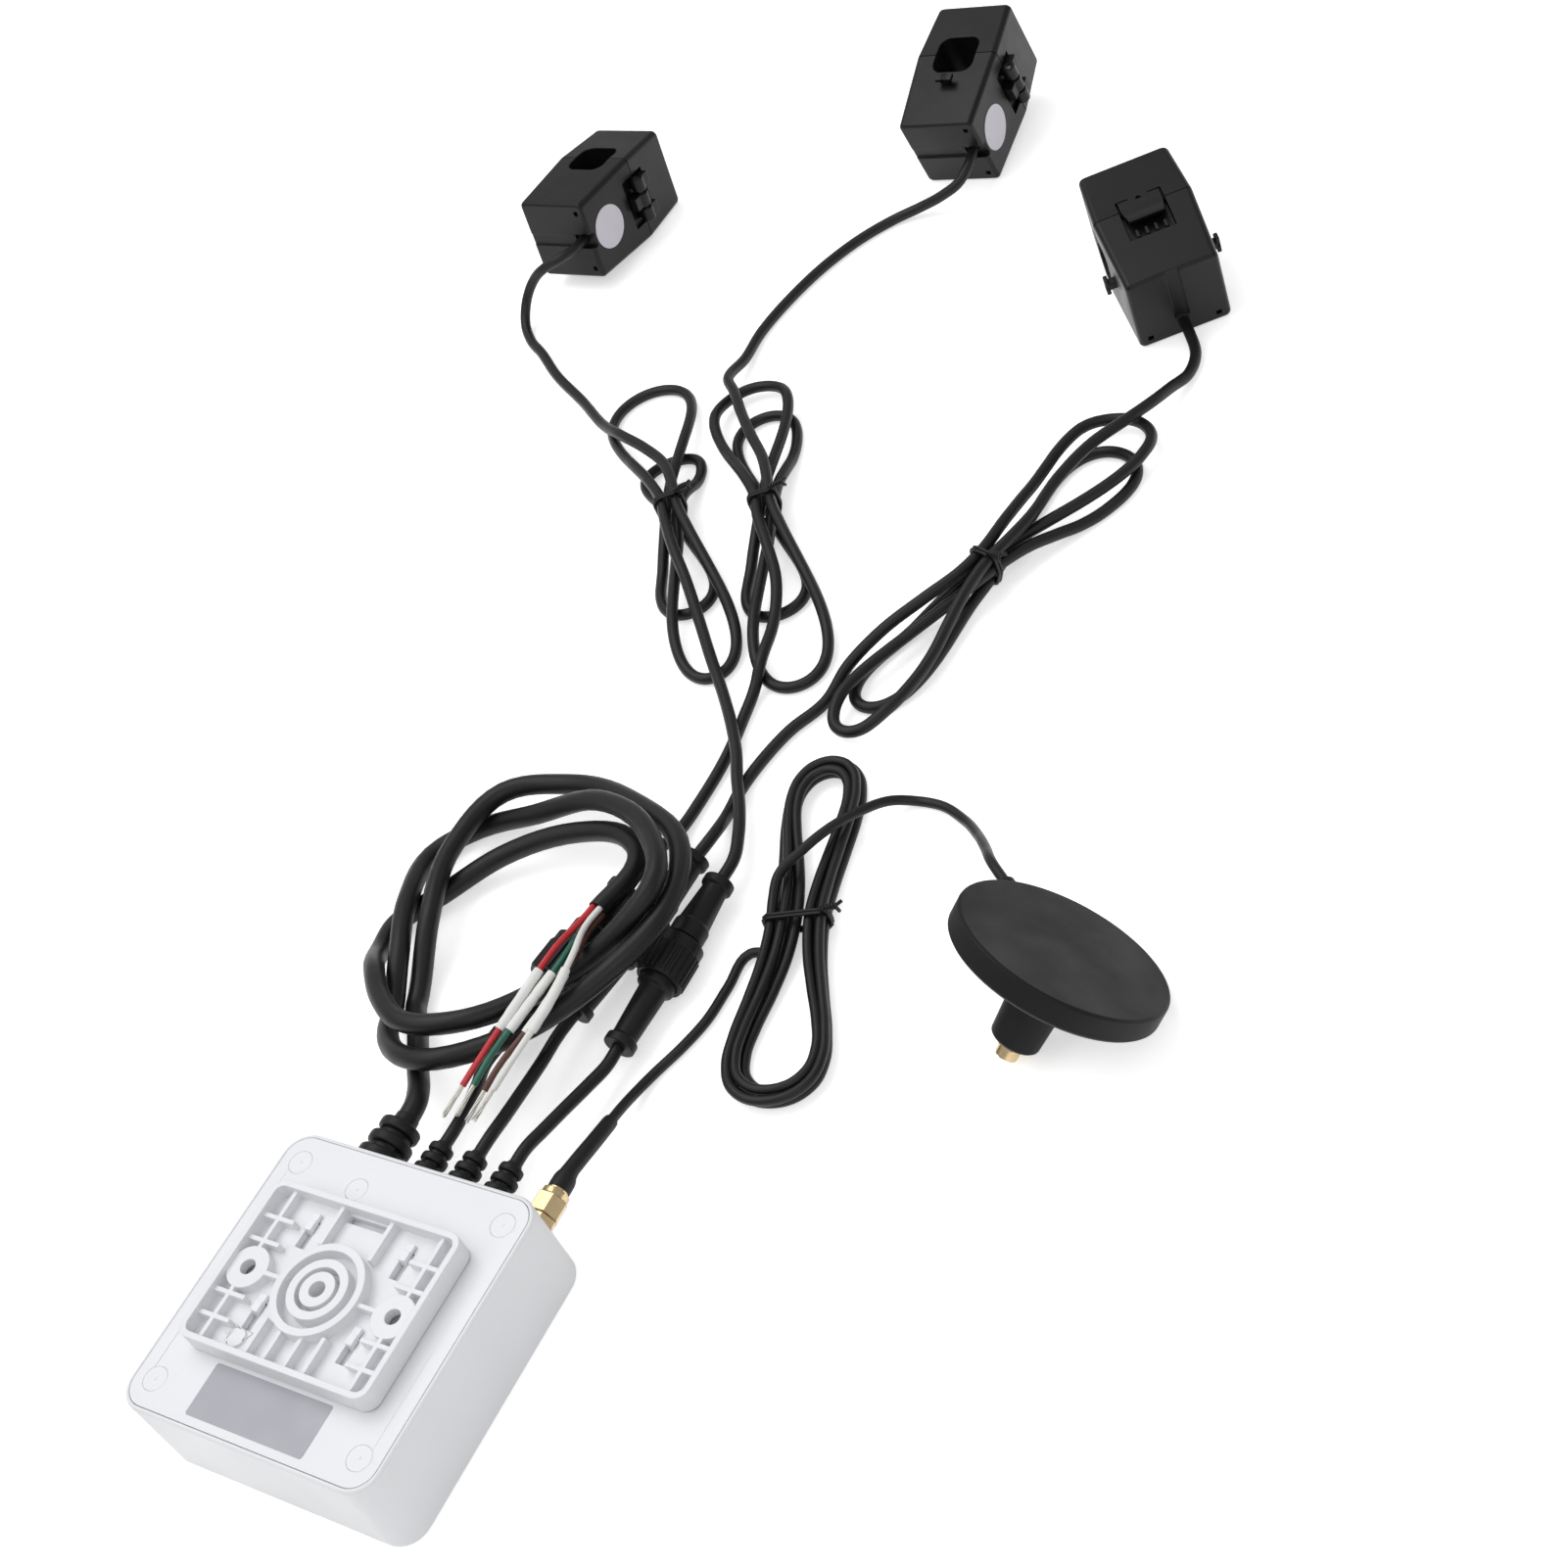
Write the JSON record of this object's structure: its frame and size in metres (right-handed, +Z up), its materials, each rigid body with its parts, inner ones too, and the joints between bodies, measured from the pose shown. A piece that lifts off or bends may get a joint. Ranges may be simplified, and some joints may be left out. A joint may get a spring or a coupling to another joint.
{
  "type": "smart energy monitor",
  "caption": "Square wall-mounted energy monitor on a slide-off bracket, with hinged split-core current clamps on tied leads, screw connectors, a coiled mains lead and a wired antenna base.",
  "frame": {"origin": "middle of the housing's front face, which lies on the table", "axes": "+X along the outlet wall from the mains lead to the antenna socket, +Y from the housing towards its leads, +Z up from the table towards the wall bracket"},
  "size_m": [0.3824, 0.5893, 0.0477],
  "materials": {
    "housing_white": "fine satin, moulded",
    "cover_white": "fine satin, moulded",
    "bracket_white": "satin, moulded",
    "label_silver": "silver film, blank",
    "steel": "plain",
    "board_green": "solder mask",
    "transformer_yellow": "taped",
    "component_dark": "plain",
    "shield_can": "tinned",
    "button_grey": "satin",
    "light_pipe_clear": "clear",
    "gold_brass": "gold plated",
    "gland_black": "matt, moulded",
    "wire_insulation": "four colours of insulation with tinned ends",
    "blank_white": "blank, matt",
    "connector_black": "semi-matt, moulded",
    "seal_red": "plain",
    "base_black": "matt",
    "clamp_black": "fine spark texture",
    "ferrite": "ground faces",
    "winding_copper": "enamelled wire",
    "cord_black": "matt jacket"
  },
  "bodies": {
    "monitor": {"front_shell": "housing_white", "back_cover": "cover_white", "cover_screws": "steel", "screw_plugs": "cover_white", "rating_label": "label_silver", "main_board": "board_green", "power_transformer": "transformer_yellow", "filter_capacitors": "component_dark", "radio_module": "shield_can", "tact_switch": "component_dark", "light_pipe": "light_pipe_clear", "sma_jack": "gold_brass", "power_gland": "gland_black", "pigtail_glands": "gland_black", "sma_ferrule": "gold_brass", "coax_sleeve": "cord_black", "power_lead": "cord_black", "power_coil": "cord_black", "mains_wires": "wire_insulation", "wire_sleeves": "blank_white", "pigtail_1": "cord_black", "pigtail_2": "cord_black", "pigtail_3": "cord_black", "connector_sockets": "connector_black", "connector_plugs": "connector_black", "connector_seals": "seal_red", "ct_lead_1": "cord_black", "ct_lead_2": "cord_black", "ct_lead_3": "cord_black", "ct_hank_1": "cord_black", "ct_hank_2": "cord_black", "ct_hank_3": "cord_black", "ct_tail_1": "cord_black", "ct_tail_2": "cord_black", "ct_tail_3": "cord_black", "cable_ties": "cord_black", "antenna_lead": "cord_black", "antenna_hank": "cord_black", "antenna_tail": "cord_black", "antenna_base": "base_black", "antenna_socket": "gold_brass", "clamp_body_1": "clamp_black", "clamp_body_2": "clamp_black", "clamp_body_3": "clamp_black", "lower_cores": "ferrite", "clamp_windings": "winding_copper", "hinge_pins": "steel", "clamp_stickers": "blank_white"},
    "bracket": {"wall_bracket": "bracket_white"},
    "button": {"pairing_button": "button_grey"},
    "antenna_nut": {"sma_nut": "gold_brass"},
    "cap_1": {"clamp_cap_1": "clamp_black", "upper_core_1": "ferrite"},
    "nut_1": {"connector_nut_1": "connector_black"},
    "cap_2": {"clamp_cap_2": "clamp_black", "upper_core_2": "ferrite"},
    "nut_2": {"connector_nut_2": "connector_black"},
    "cap_3": {"clamp_cap_3": "clamp_black", "upper_core_3": "ferrite"},
    "nut_3": {"connector_nut_3": "connector_black"}
  },
  "joints": [
    {"name": "bracket_slide", "type": "slide", "parent": "monitor", "child": "bracket", "axis": [0, 1, 0], "range_m": [0, 0.004]},
    {"name": "button_press", "type": "slide", "parent": "monitor", "child": "button", "axis": [0, 0, 1], "range_m": [0, 0.0006], "stiffness_N_per_m": 2000},
    {"name": "antenna_nut_turn", "type": "hinge", "parent": "monitor", "child": "antenna_nut", "pos_m": [0.033, 0.05, 0.015], "axis": [0, 1, 0], "continuous": true},
    {"name": "clamp_1_hinge", "type": "hinge", "parent": "monitor", "child": "cap_1", "pos_m": [-0.17935, 0.45377, 0.01831], "axis": [0, -0.1207, -0.9927], "range_deg": [0, 110]},
    {"name": "clamp_2_hinge", "type": "hinge", "parent": "monitor", "child": "cap_2", "pos_m": [-0.04661, 0.52007, 0.02274], "axis": [-0.0202, 0.2458, -0.9691], "range_deg": [0, 110]},
    {"name": "clamp_3_hinge", "type": "hinge", "parent": "monitor", "child": "cap_3", "pos_m": [0.03983, 0.44081, 0.0026], "axis": [-0.7848, -0.6198, 0], "range_deg": [0, 110]},
    {"name": "connector_1_nut_turn", "type": "hinge", "parent": "monitor", "child": "nut_1", "pos_m": [0.019, 0.133, 0.0075], "axis": [0, 1, 0], "continuous": true},
    {"name": "connector_2_nut_turn", "type": "hinge", "parent": "monitor", "child": "nut_2", "pos_m": [-0.014, 0.125, 0.0075], "axis": [0.1219, 0.9925, 0], "continuous": true},
    {"name": "connector_3_nut_turn", "type": "hinge", "parent": "monitor", "child": "nut_3", "pos_m": [0.003, 0.14, 0.0075], "axis": [0.1219, 0.9925, 0], "continuous": true}
  ]
}
